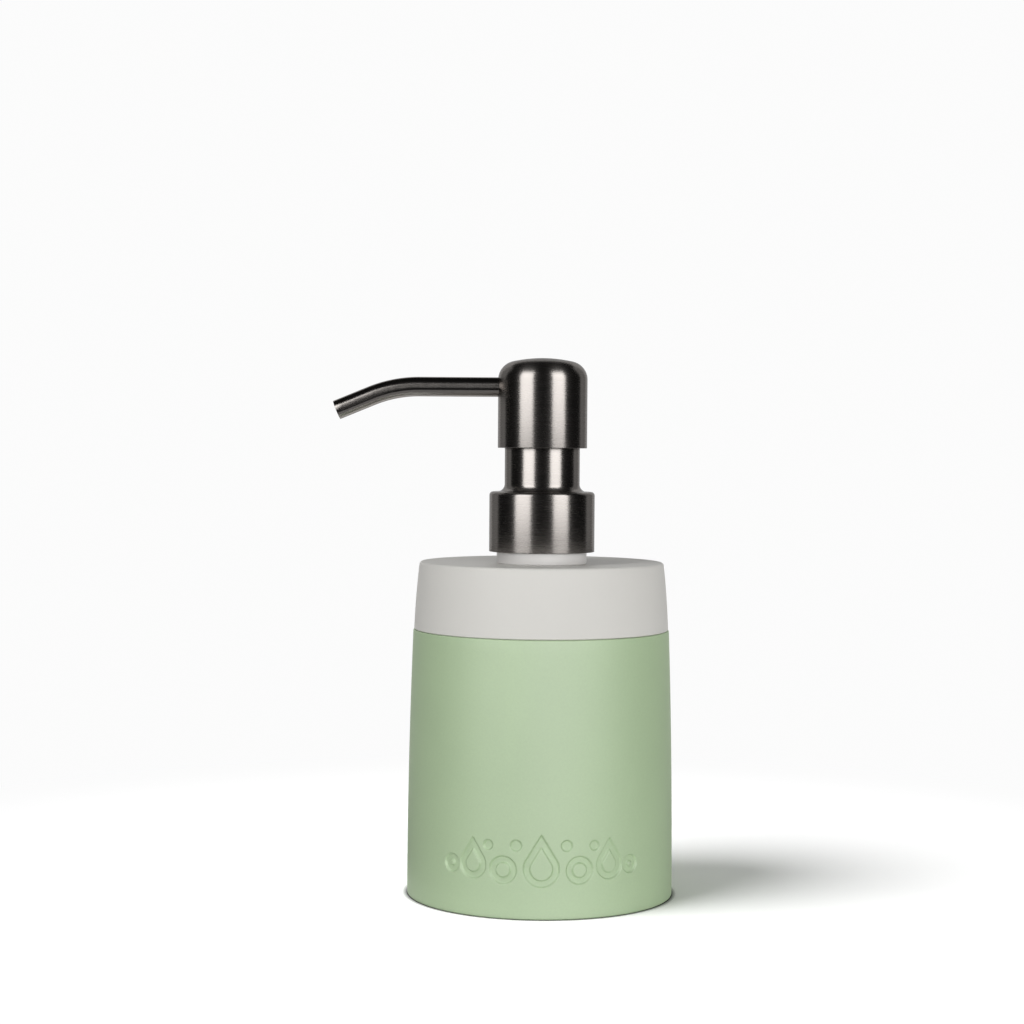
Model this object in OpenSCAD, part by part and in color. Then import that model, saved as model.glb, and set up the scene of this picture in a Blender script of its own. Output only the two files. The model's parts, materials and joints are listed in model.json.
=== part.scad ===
// Free-standing dispenser for liquid soap: a stoneware bottle in a silicone sleeve,
// closed by a screw-on stainless steel pump with a bent spout.
// Z is the bottle's axis, the table is at Z = 0, and the spout points along -X.

/* [Body] */
// Diameter of the sleeve at the table
base_d = 85.6; // [80:0.2:92]
// Height of the shoulder where the neck ring stands on it
shoulder_z = 106.4; // [103:0.2:116]
// Height of the seam between the sleeve and the bare bottle
seam_z = 85.3; // [70:0.1:92]
// Radius of the long curve of the flank below the seam
flank_r = 2300; // [1800:50:4000]
// Radius of the tighter curve above the seam
crown_r = 270; // [220:10:400]
// Radius of the shoulder's outer edge
edge_r = 1.5; // [1:0.1:2.5]
// How far the shoulder dips from its edge to the neck
shoulder_dip = 0.6; // [0:0.1:1]
// Wall of the bottle
wall_t = 4.5; // [3.5:0.25:6]
// Floor of the bottle
floor_t = 5; // [4:0.25:7]
// Roof of the bottle, around the mouth
roof_t = 6; // [5:0.25:8]
// Radius of the corners inside the bottle
hollow_r = 7; // [4:0.5:9]

/* [Sleeve] */
// Wall of the sleeve
sleeve_t = 2.2; // [1.8:0.1:3]
// Floor of the sleeve
sleeve_floor_t = 2; // [1.5:0.25:3]
// How far the sleeve stands out from the bottle at the seam
sleeve_proud = 0.25; // [0.1:0.05:0.5]
// Radius of the sleeve's foot edge
foot_edge_r = 0.4; // [0.3:0.1:1.3]
// Depth of the sunk pattern of drops and bubbles
motif_depth = 0.7; // [0.4:0.1:1]
// Width of the pattern's lines
motif_line = 2; // [1.4:0.1:2.4]
// Height of the pattern's centre
motif_z = 18; // [16:0.5:40]
// Width of the grip grooves under the foot
groove_w = 1.6; // [1:0.1:2.5]
// Depth of the grip grooves
groove_depth = 0.8; // [0.4:0.1:1.2]
// Distance from one grip groove to the next
groove_pitch = 6; // [4:0.5:9]

/* [Neck ring] */
// Diameter of the bottle's mouth
mouth_d = 26.2; // [24.4:0.2:27]
// Bore of the neck ring
neck_bore_d = 21; // [19:0.2:22]
// Diameter of the ring's visible band
neck_d = 29; // [28.4:0.2:31]
// Height of the band that shows under the collar
neck_show = 3.9; // [2.5:0.1:5]
// Height of the threaded spigot
spigot_h = 9.6; // [9:0.2:11]
// Diameter over the thread
thread_d = 27.6; // [27:0.1:28.6]
// Depth of the thread
thread_depth = 1.2; // [1:0.05:1.4]
// Rise of the thread in one turn
thread_pitch = 4.2; // [4:0.1:4.4]

/* [Closure] */
// Wall of the steel shells
steel_t = 0.75; // [0.5:0.05:0.9]
// Wall of the nut outside its thread
nut_t = 2.1; // [1.8:0.1:2.6]
// Web of the nut that clamps the pump
nut_web_t = 2; // [1.6:0.1:2.6]
// Height of the steel collar
collar_h = 19.3; // [18.6:0.1:23]
// Radius of the collar's top edge
collar_edge_r = 1.2; // [1:0.1:1.6]
// Radius of the flare between collar and guide neck
flare_r = 2.4; // [1.6:0.1:3]
// Diameter of the guide neck that the head slides over
guide_neck_d = 24.2; // [23.6:0.1:25.4]
// How far the guide neck reaches into the head at rest
neck_lap = 2.4; // [2:0.1:4]

/* [Head] */
// Travel of the head
stroke = 12; // [9:0.5:14]
// Gap left between head and collar at full travel
press_gap = 2; // [1.5:0.1:3]
// Wall of the plastic skirt inside the head
skirt_t = 1.2; // [1:0.1:1.8]
// Distance from the spout's axis up to the top of the dome
spout_drop = 9.4; // [9:0.1:11]
// Radius of the dome's corner
dome_corner_r = 6; // [5:0.25:6.5]
// Radius of the dome's crown
dome_crown_r = 45; // [35:1:70]

/* [Spout] */
// Outer diameter of the spout tube
spout_d = 6.3; // [5.8:0.1:6.6]
// Wall of the spout tube
spout_t = 0.6; // [0.4:0.05:0.7]
// Wall of the plastic liner inside the spout
liner_t = 0.6; // [0.5:0.05:0.7]
// Distance from the bottle's axis to where the bend starts
spout_reach = 39.7; // [30:0.5:50]
// Radius of the bend
bend_r = 40.5; // [25:0.5:50]
// Angle of the bend
bend_angle = 22.5; // [10:0.5:40]
// Length of the straight tip after the bend
tip_l = 12.1; // [8:0.1:20]

/* [Pump] */
// Bore of the pump barrel
barrel_d = 12.6; // [12:0.1:13]
// Wall of the pump barrel
barrel_t = 1.3; // [1:0.1:1.5]
// Thickness of the barrel's flange
flange_t = 1.6; // [1.2:0.1:2]
// Height of the barrel's rim above its flange
rim_h = 3.7; // [3:0.1:4.5]
// Depth of the stem guide below the flange
guide_depth = 5; // [4:0.25:7]
// Thickness of the neck gasket
gasket_t = 1.2; // [0.8:0.1:1.6]
// Diameter of the hollow stem
stem_d = 8; // [7.4:0.1:8.2]
// Bore of the hollow stem
stem_bore_d = 4.8; // [4.4:0.1:5.4]
// Height of the piston
piston_h = 8; // [7:0.25:10]
// Length of the return spring at rest
spring_l = 22; // [20:0.5:28]
// Wire of the return spring
spring_wire_d = 0.9; // [0.7:0.05:1]
// Number of turns of the return spring
spring_turns = 8; // [7:1:9]
// Diameter of the inlet valve's ball
inlet_ball_d = 5.5; // [5:0.1:5.8]
// Lift of the inlet valve's ball
inlet_lift = 1.5; // [1:0.1:1.8]
// Diameter of the outlet valve's ball
outlet_ball_d = 5; // [4.6:0.1:5.4]
// Lift of the outlet valve's ball
outlet_lift = 1.2; // [0.8:0.1:1.6]
// Outer diameter of the dip tube
dip_d = 6.3; // [6:0.1:6.8]
// Wall of the dip tube
dip_t = 1; // [0.7:0.05:1.2]
// Gap between the dip tube and the bottle's floor
dip_gap = 2.5; // [2:0.25:8]

/* [Hidden] */

$fn = 96;
eps = 0.5;          // how far a cutter passes a face
bond_gap = 0.1;     // glued or stretched joint, on the radius
press_fit = 0.03;   // pressed joint, on the radius
run_gap = 0.08;     // sliding seal or guide, on the radius
slide_gap = 0.3;    // loose guide of the head on its neck
shell_fit = 0.05;   // plastic inside a steel shell
ball_gap = 0.02;    // ball above its seat

// Flank of the bottle: a long arc about a point on the table's plane
bottle_base_r = base_d / 2 - sleeve_proud;
flank_cx = bottle_base_r - flank_r;
seam_angle = asin(seam_z / flank_r);
crown_cx = flank_cx + (flank_r - crown_r) * cos(seam_angle);
crown_cz = (flank_r - crown_r) * sin(seam_angle);
edge_cz = shoulder_z + shoulder_dip - edge_r;
edge_angle = asin((edge_cz - crown_cz) / (crown_r - edge_r));
edge_cx = crown_cx + (crown_r - edge_r) * cos(edge_angle);
sleeve_depth = sleeve_t - sleeve_proud;
bottle_floor_z = sleeve_floor_t + floor_t;
bottle_roof_z = shoulder_z - roof_t;
foot_recess = 1;
foot_ring_w = 9;
bottle_foot_r = 2.5;
seam_gap = 0.12;
lip_r = 0.4;

// Neck ring and thread
mouth_r = mouth_d / 2;
neck_r = neck_d / 2;
neck_bore_r = neck_bore_d / 2;
collar_z = shoulder_z + neck_show;
nut_recess = 0.7;
nut_z = collar_z + nut_recess;
band_top_z = nut_z - bond_gap;
spigot_z = band_top_z + spigot_h;
thread_r = thread_d / 2;
thread_root_r = thread_r - thread_depth;
thread_gap = 0.3;
thread_turns = 1.5;
nut_thread_turns = 1.25;
thread_root_w = 2.2;
thread_crest_w = 1;
thread_start_z = band_top_z + thread_root_w / 2 + 0.3;
thread_sunk = 0.8;

// Steel collar with its guide neck, and the nut inside it
nut_bore_r = thread_r + thread_gap;
nut_r = nut_bore_r + nut_t;
collar_r = nut_r + shell_fit + steel_t;
collar_top_z = collar_z + collar_h;
guide_neck_r = guide_neck_d / 2;
head_z = collar_top_z + stroke + press_gap;
neck_top_z = head_z + neck_lap;
flange_z = spigot_z + gasket_t;
nut_web_z = flange_z + flange_t;
rim_z = nut_web_z + rim_h;

// Pump barrel, stem guide, piston and spring, from the top down
barrel_r = barrel_d / 2;
barrel_out_r = barrel_r + barrel_t;
rim_r = barrel_out_r + 1.2;
flange_r = nut_bore_r - 0.5;
guide_cap_t = 1.4;
guide_z = flange_z - guide_depth;
stem_r = stem_d / 2;
stem_bore_r = stem_bore_d / 2;
piston_z = guide_z - ball_gap - piston_h;
piston_seat_t = 2;
piston_seat_z = piston_z - piston_seat_t;
spring_z = piston_seat_z - spring_l;
spring_r = barrel_r - 1.5;
cage_h = 5;
shelf_z = spring_z - cage_h;

// Inlet valve: a ball on a 45 degree seat above the dip tube
inlet_ball_r = inlet_ball_d / 2;
inlet_seat_r = 0.58 * inlet_ball_r;
inlet_chamber_r = inlet_ball_r + 0.65;
inlet_chamber_h = 3.2;
inlet_seat_top_z = shelf_z - inlet_chamber_h;
inlet_seat_z = inlet_seat_top_z - (inlet_chamber_r - inlet_seat_r);
inlet_ball_z = inlet_seat_z - inlet_seat_r + (inlet_ball_r + ball_gap) * sqrt(2);
cage_bar_z = inlet_ball_z + inlet_ball_r + inlet_lift + 0.1;
cage_bar_w = 1.2;
dip_r = dip_d / 2;
socket_h = 11;
socket_wall = 1.7;
socket_top_z = inlet_seat_z - 1.6;
dip_bottom_z = bottle_floor_z + dip_gap;

// Head: spout height, dome and outlet valve
lift_gap = 0.8;
socket_skin = 1.2;
spout_r = spout_d / 2;
core_web_z = neck_top_z + stroke + lift_gap;
core_web_t = 1.6;
spout_z = core_web_z + socket_skin + spout_r;
head_top_z = spout_z + spout_drop;
skirt_r = guide_neck_r + slide_gap;
core_r = skirt_r + skirt_t;
head_r = core_r + shell_fit + steel_t;
dome_cx = head_r - dome_corner_r;
dome_crown_cz = head_top_z - dome_crown_r;
dome_cz = dome_crown_cz + sqrt(pow(dome_crown_r - dome_corner_r, 2) - dome_cx * dome_cx);
dome_angle = atan2(dome_cz - dome_crown_cz, dome_cx);
outlet_ball_r = outlet_ball_d / 2;
outlet_seat_r = 0.6 * outlet_ball_r;
outlet_seat_h = 1.3;
outlet_chamber_r = outlet_ball_r + 0.6;
outlet_ball_up = (outlet_ball_r + ball_gap) * sqrt(2) - outlet_seat_r - outlet_seat_h;
outlet_roof_up = outlet_ball_up + outlet_ball_r + outlet_lift + 0.1;
outlet_roof_t = 1.2;
channel_r = 2.2;
stem_top_z = spout_z - channel_r - outlet_roof_t - outlet_roof_up;
stem_neck_h = 2.5;
boss_r = stem_r + 2;
boss_grip = 8;
liner_r = spout_r - spout_t - shell_fit;
spout_root_x = 4.5;

// Marks of the pattern on one side of its centre: angle round the bottle, height above the
// pattern's centre, diameter, and reach of the drop's point above its round (0 for a bubble)
MARKS = [
    [10.5, 4.6, 3.4, 0],
    [16, -3, 8.5, 0],
    [22.5, 4.4, 3, 0],
    [29.5, -1.8, 9, 8.2],
    [40, -2.4, 5.6, 0],
];
MIDDLE_MARK = [0, -2.5, 11, 10.5];

// Radius of the flank's arc at height z
function flank_x(z) = flank_cx + sqrt(flank_r * flank_r - z * z);

// Points on an arc about c from angle a0 to a1
function arc(c, r, a0, a1, n = 8) =
    [for (i = [0:n]) let (a = a0 + (a1 - a0) * i / n) c + r * [cos(a), sin(a)]];

// Points on the flank, moved out by d, from height z0 to z1
function flank(d, z0, z1, n = 6) =
    [for (i = [0:n]) let (z = z0 + (z1 - z0) * i / n) [flank_x(z) + d, z]];

function reversed(points) = [for (i = [len(points) - 1:-1:0]) points[i]];

module turned(points) rotate_extrude() polygon(points);

// Stoneware bottle: glazed shell with a seat for the sleeve and a plain round mouth
module bottle() {
    seat = -sleeve_depth - bond_gap;
    hollow = seat - wall_t;
    z0 = sleeve_floor_t;
    foot_x = flank_x(z0) + seat;
    low_x = flank_x(bottle_floor_z) + hollow;
    high_x = flank_x(bottle_roof_z) + hollow;
    color("gainsboro") turned(concat(
        [[0, z0 + foot_recess], [foot_x - foot_ring_w - foot_recess, z0 + foot_recess]],
        [[foot_x - foot_ring_w, z0]],
        arc([foot_x - bottle_foot_r, z0 + bottle_foot_r], bottle_foot_r, -90, 0),
        flank(seat, z0 + bottle_foot_r + 1, seam_z),
        arc([crown_cx, crown_cz], crown_r, seam_angle, edge_angle),
        arc([edge_cx, edge_cz], edge_r, edge_angle, 90),
        [[neck_r + 1, shoulder_z], [mouth_r, shoulder_z], [mouth_r, bottle_roof_z]],
        arc([high_x - hollow_r, bottle_roof_z - hollow_r], hollow_r, 90, 0),
        reversed(flank(hollow, bottle_floor_z + hollow_r, bottle_roof_z - hollow_r)),
        arc([low_x - hollow_r, bottle_floor_z + hollow_r], hollow_r, 0, -90),
        [[0, bottle_floor_z]]
    ));
}

// Round of radius r with a point that reaches up to tip
module drop(r, tip) {
    circle(r = r);
    if (tip > r)
        let (b = acos(r / tip))
            polygon([[0, tip], r * [-sin(b), cos(b)], [0, 0], r * [sin(b), cos(b)]]);
}

// One mark as a cutter through the sleeve's wall: an outline, or a solid dot when it is small
module mark_cut(angle, mark) {
    r = mark[2] / 2;
    inner_r = r - motif_line;
    rotate([0, 0, angle]) translate([0, 0, motif_z + mark[1]]) rotate([90, 0, 0])
        linear_extrude(base_d) difference() {
            drop(r, mark[3]);
            if (inner_r > 0.5) drop(inner_r, mark[3] * inner_r / r);
        }
}

// Sunk pattern of drops and bubbles on the front, the same to both sides
module motif_cut() {
    low = motif_z - 10;
    high = motif_z + 10;
    intersection() {
        turned(concat(
            flank(sleeve_proud - motif_depth, low, high, 1),
            [[base_d, high], [base_d, low]]
        ));
        union() {
            mark_cut(0, MIDDLE_MARK);
            for (mark = MARKS, side = [-1, 1]) mark_cut(side * mark[0], mark);
        }
    }
}

// Silicone sleeve: a boot with a floor, stretched over the lower bottle
module sleeve() {
    top_z = seam_z - seam_gap;
    foot_x = flank_x(0) + sleeve_proud;
    corner_r = bottle_foot_r;
    inner_x = flank_x(sleeve_floor_t) - sleeve_depth;
    color("darkseagreen") difference() {
        turned(concat(
            [[0, 0]],
            arc([foot_x - foot_edge_r, foot_edge_r], foot_edge_r, -90, 0),
            flank(sleeve_proud, foot_edge_r + 1, top_z - lip_r - 0.1),
            arc([flank_x(top_z) + sleeve_proud - lip_r, top_z - lip_r], lip_r, 0, 90),
            reversed(flank(-sleeve_depth, sleeve_floor_t + corner_r + 1, top_z)),
            arc([inner_x - corner_r, sleeve_floor_t + corner_r], corner_r, 0, -90),
            [[0, sleeve_floor_t]]
        ));
        motif_cut();
        for (i = [1:4]) {
            r = foot_x - i * groove_pitch;
            translate([0, 0, -eps]) difference() {
                cylinder(r = r, h = groove_depth + eps);
                translate([0, 0, -eps]) cylinder(r = r - groove_w, h = groove_depth + 3 * eps);
            }
        }
    }
}

// Ridge of a thread: a trapezoid swept along a helix, fading out at both ends
module thread_ridge(root, crest, root_w, crest_w, z0, turns) {
    n = round(turns * 36);
    points = [for (i = [0:n])
        let (a = 360 * turns * i / n, z = z0 + thread_pitch * turns * i / n)
        let (share = min(1, (i + 2) / 4, (n - i + 2) / 4))
        let (top = root + (crest - root) * share)
        for (p = [[root, -root_w], [top, -crest_w], [top, crest_w], [root, root_w]])
            [p[0] * cos(a), p[0] * sin(a), z + p[1] / 2]];
    sides = [for (i = [0:n - 1], k = [0:3])
        let (a = 4 * i + k, b = 4 * i + (k + 1) % 4)
        each [[a, b + 4, a + 4], [a, b, b + 4]]];
    last = 4 * n;
    ends = [[2, 1, 0], [3, 2, 0], [last, last + 1, last + 2], [last, last + 2, last + 3]];
    faces = concat(sides, ends);
    polyhedron(points, crest > root ? faces : [for (f = faces) reversed(f)]);
}

// Plastic ring bonded into the bottle's mouth, with the thread for the closure
module neck_ring() {
    plug_r = mouth_r - bond_gap;
    color("white") union() {
        turned([
            [neck_bore_r, bottle_roof_z],
            [plug_r, bottle_roof_z],
            [plug_r, shoulder_z],
            [neck_r - 0.3, shoulder_z],
            [neck_r, shoulder_z + 0.3],
            [neck_r, band_top_z - 0.4],
            [neck_r - 0.4, band_top_z],
            [thread_root_r, band_top_z],
            [thread_root_r, spigot_z - 0.5],
            [thread_root_r - 0.5, spigot_z],
            [neck_bore_r, spigot_z],
        ]);
        thread_ridge(thread_root_r - thread_sunk, thread_r, thread_root_w, thread_crest_w,
                     thread_start_z, thread_turns);
    }
}

// Drawn steel collar with its flare and the guide neck above it
module collar_shell() {
    corner = [collar_r - collar_edge_r, collar_top_z - collar_edge_r];
    flare = [guide_neck_r + flare_r, collar_top_z + flare_r];
    color("slategray") turned(concat(
        [[collar_r - steel_t, collar_z], [collar_r, collar_z]],
        arc(corner, collar_edge_r, 0, 90),
        arc(flare, flare_r, 270, 180),
        [[guide_neck_r, neck_top_z], [guide_neck_r - steel_t, neck_top_z]],
        arc(flare, flare_r + steel_t, 180, 270),
        arc(corner, collar_edge_r - steel_t, 90, 0)
    ));
}

// Plastic nut inside the collar: thread, clamping web and the lining of the guide neck
module closure_nut() {
    top_z = collar_top_z - steel_t - shell_fit;
    bevel = collar_edge_r;
    lining_r = guide_neck_r - steel_t - shell_fit;
    lining_bore_r = lining_r - 1.6;
    web_top_z = nut_web_z + nut_web_t;
    thread_z = thread_start_z + thread_pitch / 2;
    color("dimgray") union() {
        turned([
            [nut_bore_r, nut_z],
            [nut_r, nut_z],
            [nut_r, top_z - bevel],
            [nut_r - bevel, top_z],
            [nut_bore_r, top_z],
            [nut_bore_r, web_top_z],
            [lining_r, web_top_z],
            [lining_r, neck_top_z - 1],
            [lining_bore_r, neck_top_z - 1],
            [lining_bore_r, web_top_z],
            [rim_r + slide_gap, web_top_z],
            [rim_r + slide_gap, nut_web_z],
            [nut_bore_r, nut_web_z],
        ]);
        thread_ridge(nut_bore_r + thread_sunk, thread_root_r + thread_gap, thread_root_w - 0.3,
                     thread_crest_w - 0.2, thread_z, nut_thread_turns);
    }
}

// Flat sealing washer between the spigot and the barrel's flange
module gasket() {
    color("whitesmoke") turned([
        [barrel_out_r + bond_gap, spigot_z],
        [flange_r - 0.3, spigot_z],
        [flange_r - 0.3, flange_z],
        [barrel_out_r + bond_gap, flange_z],
    ]);
}

// Pump barrel with its flange, rim, inlet seat and dip tube socket
module pump_housing() {
    socket_r = dip_r + press_fit;
    socket_out_r = socket_r + socket_wall;
    taper_z = socket_top_z + 1;
    color("white") turned([
        [socket_r, socket_top_z - socket_h],
        [socket_out_r, socket_top_z - socket_h],
        [socket_out_r, taper_z],
        [barrel_out_r, taper_z + 5],
        [barrel_out_r, flange_z],
        [flange_r, flange_z],
        [flange_r, nut_web_z],
        [rim_r, nut_web_z],
        [rim_r, rim_z],
        [barrel_r, rim_z],
        [barrel_r, shelf_z],
        [inlet_chamber_r, shelf_z],
        [inlet_chamber_r, inlet_seat_top_z],
        [inlet_seat_r, inlet_seat_z],
        [inlet_seat_r, socket_top_z],
        [socket_r, socket_top_z],
    ]);
}

// Ring snapped into the barrel's top: it guides the stem and stops the piston
module stem_guide() {
    color("lightgray") turned([
        [stem_r + run_gap, guide_z],
        [barrel_r - press_fit, guide_z],
        [barrel_r - press_fit, rim_z],
        [rim_r, rim_z],
        [rim_r, rim_z + guide_cap_t],
        [stem_r + run_gap, rim_z + guide_cap_t],
    ]);
}

// Cage over the inlet ball: its ring carries the spring and its cross bars stop the ball
module ball_cage() {
    top_z = shelf_z + cage_h;
    color("lightgray") union() {
        turned([
            [inlet_chamber_r, shelf_z],
            [barrel_r - press_fit, shelf_z],
            [barrel_r - press_fit, top_z],
            [inlet_chamber_r, top_z],
        ]);
        for (a = [0, 90]) rotate([0, 0, a])
            translate([-inlet_chamber_r - eps, -cage_bar_w / 2, cage_bar_z])
                cube([2 * (inlet_chamber_r + eps), cage_bar_w, top_z - cage_bar_z]);
    }
}

// Dip tube, cut aslant at its foot so that it can't seal itself on the floor
module dip_tube() {
    color("white") difference() {
        translate([0, 0, dip_bottom_z]) cylinder(r = dip_r, h = socket_top_z - dip_bottom_z);
        translate([0, 0, dip_bottom_z - eps])
            cylinder(r = dip_r - dip_t, h = socket_top_z - dip_bottom_z + 2 * eps);
        translate([dip_r, -dip_d, dip_bottom_z]) rotate([0, 45, 0]) translate([-2 * dip_d, 0, -2 * dip_d])
            cube([4 * dip_d, 2 * dip_d, 2 * dip_d]);
    }
}

module inlet_ball() {
    color("silver") translate([0, 0, inlet_ball_z]) sphere(r = inlet_ball_r);
}

// Return spring: open turns between a closed turn at each end
module return_spring() {
    per_turn = 20;
    sides = 6;
    n = spring_turns * per_turn;
    wire_r = spring_wire_d / 2;
    closed = spring_wire_d * 1.06;
    travel = spring_l - spring_wire_d * 1.02;
    open = (travel - 2 * closed) / (spring_turns - 2);
    points = [for (i = [0:n])
        let (t = i / per_turn, a = 360 * t)
        let (low = min(t, 1) * closed, high = max(t - spring_turns + 1, 0) * closed)
        let (z = low + high + max(0, min(t - 1, spring_turns - 2)) * open)
        for (k = [0:sides - 1])
            let (b = 360 * k / sides, r = spring_r + wire_r * cos(b))
            [r * cos(a), r * sin(a), spring_z + spring_wire_d * 0.51 + z + wire_r * sin(b)]];
    walls = [for (i = [0:n - 1], k = [0:sides - 1])
        let (a = sides * i + k, b = sides * i + (k + 1) % sides)
        each [[a, b + sides, a + sides], [a, b, b + sides]]];
    ends = [[for (k = [sides - 1:-1:0]) k], [for (k = [0:sides - 1]) sides * n + k]];
    color("silver") polyhedron(points, concat(walls, ends));
}

// Hollow stem: its top end is the seat of the outlet ball
module stem() {
    seat_z = stem_top_z - outlet_seat_h;
    color("white") turned([
        [stem_bore_r, piston_z],
        [stem_r, piston_z],
        [stem_r, stem_top_z],
        [outlet_seat_r + outlet_seat_h, stem_top_z],
        [outlet_seat_r, seat_z],
        [outlet_seat_r, seat_z - 0.6],
        [stem_bore_r, seat_z - stem_neck_h],
    ]);
}

// Soft piston with a wiping lip at each end
module piston() {
    wiper_r = barrel_r - run_gap;
    waist_r = wiper_r - 0.9;
    top_z = piston_z + piston_h;
    color("ivory") turned([
        [stem_r + press_fit, piston_z],
        [wiper_r - 0.5, piston_z],
        [wiper_r, piston_z + 0.6],
        [wiper_r, piston_z + 1.2],
        [waist_r, piston_z + 2.4],
        [waist_r, top_z - 2.4],
        [wiper_r, top_z - 1.2],
        [wiper_r, top_z - 0.6],
        [wiper_r - 0.5, top_z],
        [stem_r + press_fit, top_z],
    ]);
}

// Plug in the stem's foot: it holds the piston up and takes the spring
module piston_seat() {
    flow_r = stem_bore_r - 0.8;
    plug_r = stem_bore_r - press_fit;
    color("lightgray") turned([
        [flow_r, piston_seat_z],
        [spring_r + spring_wire_d / 2 + 0.15, piston_seat_z],
        [spring_r + spring_wire_d / 2 + 0.15, piston_z],
        [plug_r, piston_z],
        [plug_r, piston_z + 5],
        [flow_r, piston_z + 5],
    ]);
}

module outlet_ball() {
    color("silver") translate([0, 0, stem_top_z + outlet_ball_up]) sphere(r = outlet_ball_r);
}

// Drawn steel dome of the head, pierced for the spout
module head_shell() {
    corner = [dome_cx, dome_cz];
    crown = [0, dome_crown_cz];
    color("slategray") difference() {
        turned(concat(
            [[head_r - steel_t, head_z], [head_r, head_z]],
            arc(corner, dome_corner_r, 0, dome_angle, 12),
            arc(crown, dome_crown_r, dome_angle, 90),
            arc(crown, dome_crown_r - steel_t, 90, dome_angle),
            arc(corner, dome_corner_r - steel_t, dome_angle, 0, 12)
        ));
        translate([0, 0, spout_z]) rotate([0, -90, 0]) cylinder(r = spout_r + shell_fit, h = 2 * head_r);
    }
}

// Plastic core of the head: guide skirt, web, stem socket, outlet chamber and spout socket
module head_core() {
    skirt_z = head_z + 0.6;
    ring_top_z = dome_cz - 0.3;
    boss_z = stem_top_z - boss_grip;
    boss_top_z = spout_z + spout_r + socket_skin + 0.5;
    color("dimgray") difference() {
        union() {
            turned([
                [skirt_r, skirt_z],
                [core_r, skirt_z],
                [core_r, ring_top_z],
                [core_r - 1.4, ring_top_z],
                [core_r - 1.4, core_web_z + core_web_t],
                [0, core_web_z + core_web_t],
                [0, core_web_z],
                [skirt_r, core_web_z],
            ]);
            translate([0, 0, boss_z]) cylinder(r = boss_r, h = boss_top_z - boss_z);
            intersection() {
                translate([0, 0, spout_z]) rotate([0, -90, 0])
                    cylinder(r = spout_r + socket_skin, h = core_r);
                translate([0, 0, core_web_z]) cylinder(r = core_r - 1, h = boss_top_z - core_web_z);
            }
            for (a = [-90, 0, 90]) rotate([0, 0, a])
                translate([boss_r - eps, -0.7, core_web_z])
                    cube([core_r - boss_r - 0.5, 1.4, ring_top_z - core_web_z]);
        }
        translate([0, 0, boss_z - eps]) cylinder(r = stem_r + press_fit, h = boss_grip + eps);
        translate([0, 0, stem_top_z - eps]) cylinder(r = outlet_chamber_r, h = outlet_roof_up + eps);
        for (a = [0, 90]) rotate([0, 0, a])
            translate([-outlet_chamber_r + 0.4, -0.8, stem_top_z])
                cube([2 * outlet_chamber_r - 0.8, 1.6, spout_z - stem_top_z]);
        translate([outlet_chamber_r - 0.4, 0, spout_z]) rotate([0, -90, 0])
            cylinder(r = channel_r, h = head_r);
        translate([-spout_root_x, 0, spout_z]) rotate([0, -90, 0])
            cylinder(r = spout_r + press_fit, h = head_r);
    }
}

// Solid that follows the spout: level, bent down and straight again. The tip is a hair thinner
// and starts inside the bend, so that it passes cleanly through the bend's end face.
module spout_path(r, root_x, tip) {
    lap = 0.3;
    step = 0.01;
    translate([0, 0, spout_z]) {
        translate([-root_x, 0, 0]) rotate([0, -90, 0]) cylinder(r = r, h = spout_reach - root_x);
        translate([-spout_reach, 0, -bend_r]) {
            rotate([90, 0, 0]) rotate([0, 0, 90])
                rotate_extrude(angle = bend_angle) translate([bend_r, 0]) circle(r = r);
            rotate([0, -bend_angle, 0]) translate([lap, 0, bend_r])
                rotate([0, -90, 0]) cylinder(r = r - step, h = tip + lap);
        }
    }
}

module spout() {
    color("slategray") difference() {
        spout_path(spout_r, spout_root_x, tip_l);
        spout_path(spout_r - spout_t, spout_root_x - eps, tip_l + eps);
    }
}

// Plastic tube that lines the spout and stops just short of its tip
module spout_liner() {
    color("white") difference() {
        spout_path(liner_r, spout_root_x, tip_l - 0.8);
        spout_path(liner_r - liner_t, spout_root_x - eps, tip_l);
    }
}

bottle();
sleeve();
neck_ring();
collar_shell();
closure_nut();
gasket();
pump_housing();
stem_guide();
ball_cage();
dip_tube();
inlet_ball();
return_spring();
stem();
piston();
piston_seat();
outlet_ball();
head_shell();
head_core();
spout();
spout_liner();
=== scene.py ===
# %% [markdown]
# # A soap dispenser
# A stoneware bottle wears a silicone sleeve on its lower four fifths, and a brushed steel pump
# is screwed into its mouth. The solids come in ready-made and in place, so this file gives
# them their finish, and rebuilds the outer pieces as smoother meshes with softened edges.

# %% Load the frame
import json
import math

import bmesh
import bpy
import numpy as np
from mathutils import Matrix, Vector

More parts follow.
